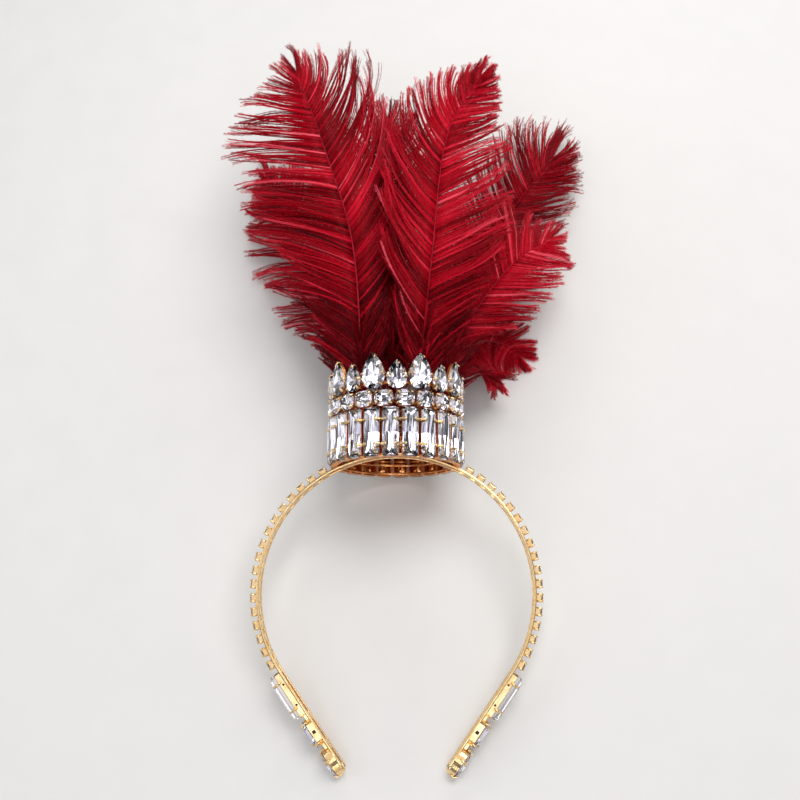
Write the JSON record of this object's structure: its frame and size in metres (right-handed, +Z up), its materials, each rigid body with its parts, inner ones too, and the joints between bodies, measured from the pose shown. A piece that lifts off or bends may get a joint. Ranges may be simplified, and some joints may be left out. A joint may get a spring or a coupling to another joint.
{
  "type": "carnival feather headdress",
  "caption": "Crystal headband with a small round crown of cut stones on top that holds a spray of ostrich plumes; worn on the head as stage costume, here lying on its back.",
  "frame": {"origin": "middle of the bottom of the lying headdress, on the surface it rests on", "axes": "+Z up from the surface, +Y from the tips of the band towards the plumes, +X to the right seen from the front"},
  "size_m": [0.1918, 0.3804, 0.083],
  "materials": {
    "gold": "polished gold plate",
    "crystal": "clear foil-backed cut glass",
    "plume": "dyed ostrich feather"
  },
  "bodies": {
    "root": {"baguette_row": "crystal", "crown_frame": "gold", "end_baguette_left": "crystal", "end_baguette_right": "crystal", "end_octagon_left": "crystal", "end_octagon_right": "crystal", "end_pear_left": "crystal", "end_pear_right": "crystal", "headband": "gold", "octagon_01": "crystal", "octagon_02": "crystal", "octagon_03": "crystal", "octagon_04": "crystal", "octagon_05": "crystal", "octagon_06": "crystal", "octagon_07": "crystal", "octagon_08": "crystal", "octagon_09": "crystal", "octagon_10": "crystal", "octagon_11": "crystal", "octagon_12": "crystal", "octagon_13": "crystal", "octagon_14": "crystal", "octagon_15": "crystal", "octagon_16": "crystal", "octagon_17": "crystal", "octagon_18": "crystal", "octagon_19": "crystal", "octagon_20": "crystal", "pear_01": "crystal", "pear_02": "crystal", "pear_03": "crystal", "pear_04": "crystal", "pear_05": "crystal", "pear_06": "crystal", "pear_07": "crystal", "pear_08": "crystal", "pear_09": "crystal", "pear_10": "crystal", "pear_11": "crystal", "pear_12": "crystal", "pear_13": "crystal", "pear_14": "crystal", "pear_15": "crystal", "pear_16": "crystal", "pear_17": "crystal", "pear_18": "crystal", "plume_back_left": "plume", "plume_back_right": "plume", "plume_centre": "plume", "plume_droop_right": "plume", "plume_front_left": "plume", "plume_front_right": "plume", "plume_low_right": "plume"}
  },
  "joints": []
}
